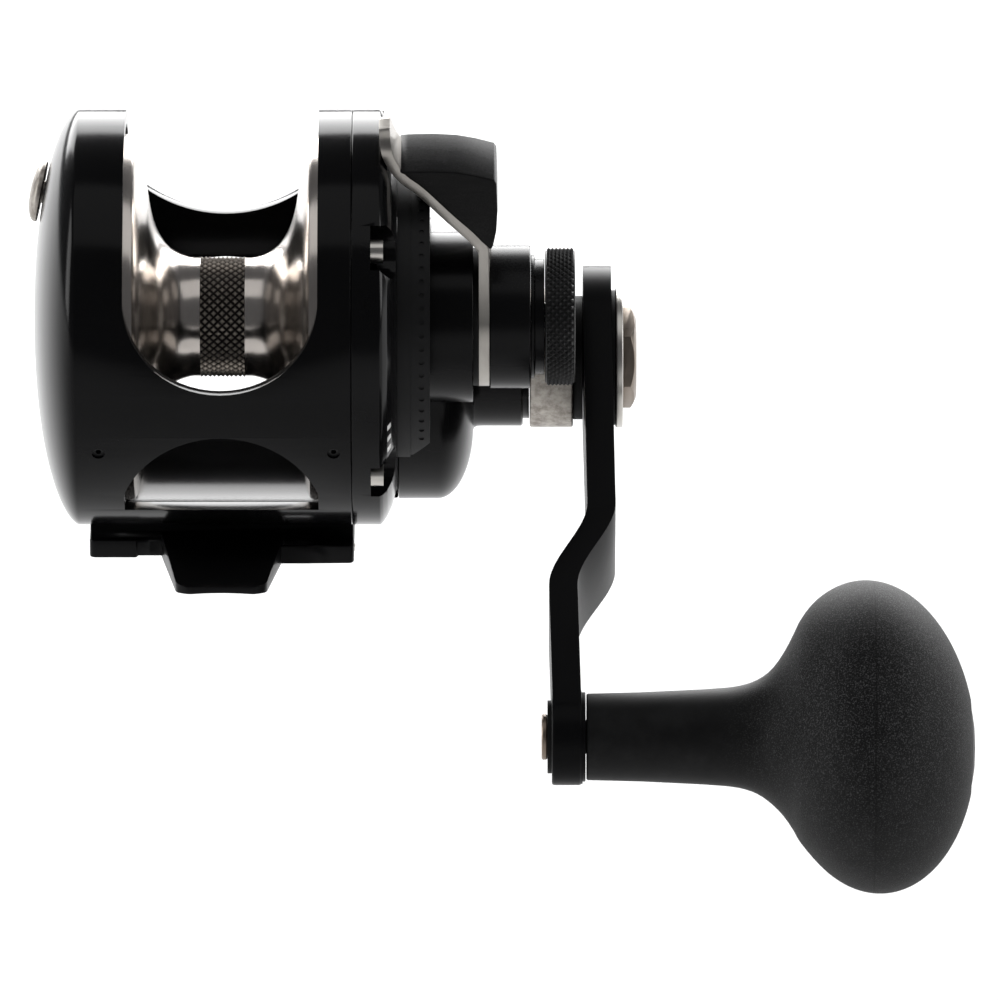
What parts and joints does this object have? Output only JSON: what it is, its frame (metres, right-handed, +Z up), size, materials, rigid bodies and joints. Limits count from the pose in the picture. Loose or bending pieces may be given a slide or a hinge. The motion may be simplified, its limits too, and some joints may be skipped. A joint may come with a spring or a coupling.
{
  "type": "trolling reel",
  "caption": "Lever drag trolling reel with an open frame, narrow spool, bent drag lever, cranked handle with a round knob and a rod foot.",
  "frame": {"origin": "middle of the foot's flat underside", "axes": "+X along the spool axis to the handle side, +Y forwards to the rod tip, +Z up from the rod"},
  "size_m": [0.1495, 0.1087, 0.1169],
  "materials": {
    "black_anodised": "gloss black anodised, fine turned grain",
    "black_plastic": "satin black moulded plastic",
    "black_washer": "matt black washer",
    "grip_rubber": "matt dark grey, fine pebble grain",
    "machined_alu": "turned, bright satin with fine rings",
    "knurl_band": "diamond knurled, slightly darker",
    "satin_steel": "satin stainless strip",
    "blasted_steel": "bead blasted stainless",
    "screw_steel": "bright turned stainless",
    "shaft_steel": "ground stainless",
    "bearing_steel": "polished rings with shields",
    "gear_brass": "cut teeth, satin",
    "drag_fibre": "woven carbon friction washer"
  },
  "bodies": {
    "body": {"frame": "black_anodised", "foot": "black_anodised", "foot_screws": "screw_steel", "drain_plugs": "black_plastic", "side_plate": "black_anodised", "side_plate_screws": "screw_steel", "gear_cover": "black_anodised", "gear_cover_screws": "screw_steel", "quadrant": "black_plastic", "spool_shaft": "shaft_steel", "shaft_bearings": "bearing_steel", "pinion_bearing": "bearing_steel", "belleville_washers": "shaft_steel", "lever_washer": "black_washer", "dog_pins": "shaft_steel", "gear_shaft_bearings": "bearing_steel"},
    "crank": {"main_gear": "gear_brass", "gear_shaft": "shaft_steel", "ratchet_wheel": "shaft_steel", "handle_collar": "blasted_steel", "inner_washer": "black_washer", "arm": "black_anodised", "outer_washer": "black_washer", "lock_washer": "satin_steel", "handle_nut": "screw_steel", "knob_spindle": "shaft_steel", "spindle_washer": "black_washer"},
    "grip": {"knob": "grip_rubber", "knob_bushes": "gear_brass", "knob_cap": "black_plastic"},
    "line_spool": {"spool": "machined_alu", "arbor_band": "knurl_band", "spool_bearings": "bearing_steel", "drag_washer": "drag_fibre", "drag_disc": "shaft_steel", "pinion": "gear_brass", "click_gear": "gear_brass"},
    "clicker": {"click_button": "blasted_steel", "click_pawl": "shaft_steel"},
    "drag_lever": {"lever": "satin_steel", "lever_pad": "black_plastic", "lever_collar": "black_anodised", "lever_cam": "shaft_steel", "detent_plunger": "shaft_steel"},
    "preset": {"preset_neck": "black_anodised", "preset_knob": "black_anodised"},
    "front_dog": {"dog_front": "shaft_steel"},
    "rear_dog": {"dog_rear": "shaft_steel"}
  },
  "joints": [
    {"name": "crank_turn", "type": "hinge", "parent": "body", "child": "crank", "pos_m": [0.05, 0.01869, 0.024], "axis": [1, 0, 0], "continuous": true},
    {"name": "knob_spin", "type": "hinge", "parent": "crank", "child": "grip", "pos_m": [0.06, -0.04291, -0.01914], "axis": [1, 0, 0], "continuous": true},
    {"name": "spool_spin", "type": "hinge", "parent": "body", "child": "line_spool", "pos_m": [0, 0, 0.0367], "axis": [1, 0, 0], "continuous": true},
    {"name": "drag_lever_turn", "type": "hinge", "parent": "body", "child": "drag_lever", "pos_m": [0.041, 0, 0.0367], "axis": [1, 0, 0], "range_deg": [-45, 111]},
    {"name": "preset_turn", "type": "hinge", "parent": "body", "child": "preset", "pos_m": [0.053, 0, 0.0367], "axis": [1, 0, 0], "range_deg": [-180, 180]},
    {"name": "clicker_slide", "type": "slide", "parent": "body", "child": "clicker", "axis": [-0.1959, -0.303, -0.9326], "range_m": [0, 0.005]},
    {"name": "front_dog_lift", "type": "hinge", "parent": "body", "child": "front_dog", "pos_m": [0.034, 0.02477, 0.03008], "axis": [-1, 0, 0], "range_deg": [0, 6], "stiffness_Nm_per_rad": 0.0005, "springref_deg": -11.46},
    {"name": "rear_dog_lift", "type": "hinge", "parent": "body", "child": "rear_dog", "pos_m": [0.034, 0.01261, 0.01792], "axis": [-1, 0, 0], "range_deg": [0, 6], "stiffness_Nm_per_rad": 0.0005, "springref_deg": -11.46}
  ],
  "couplings": [
    {"joint": "spool_spin", "follows": "crank_turn", "ratio": -4}
  ]
}
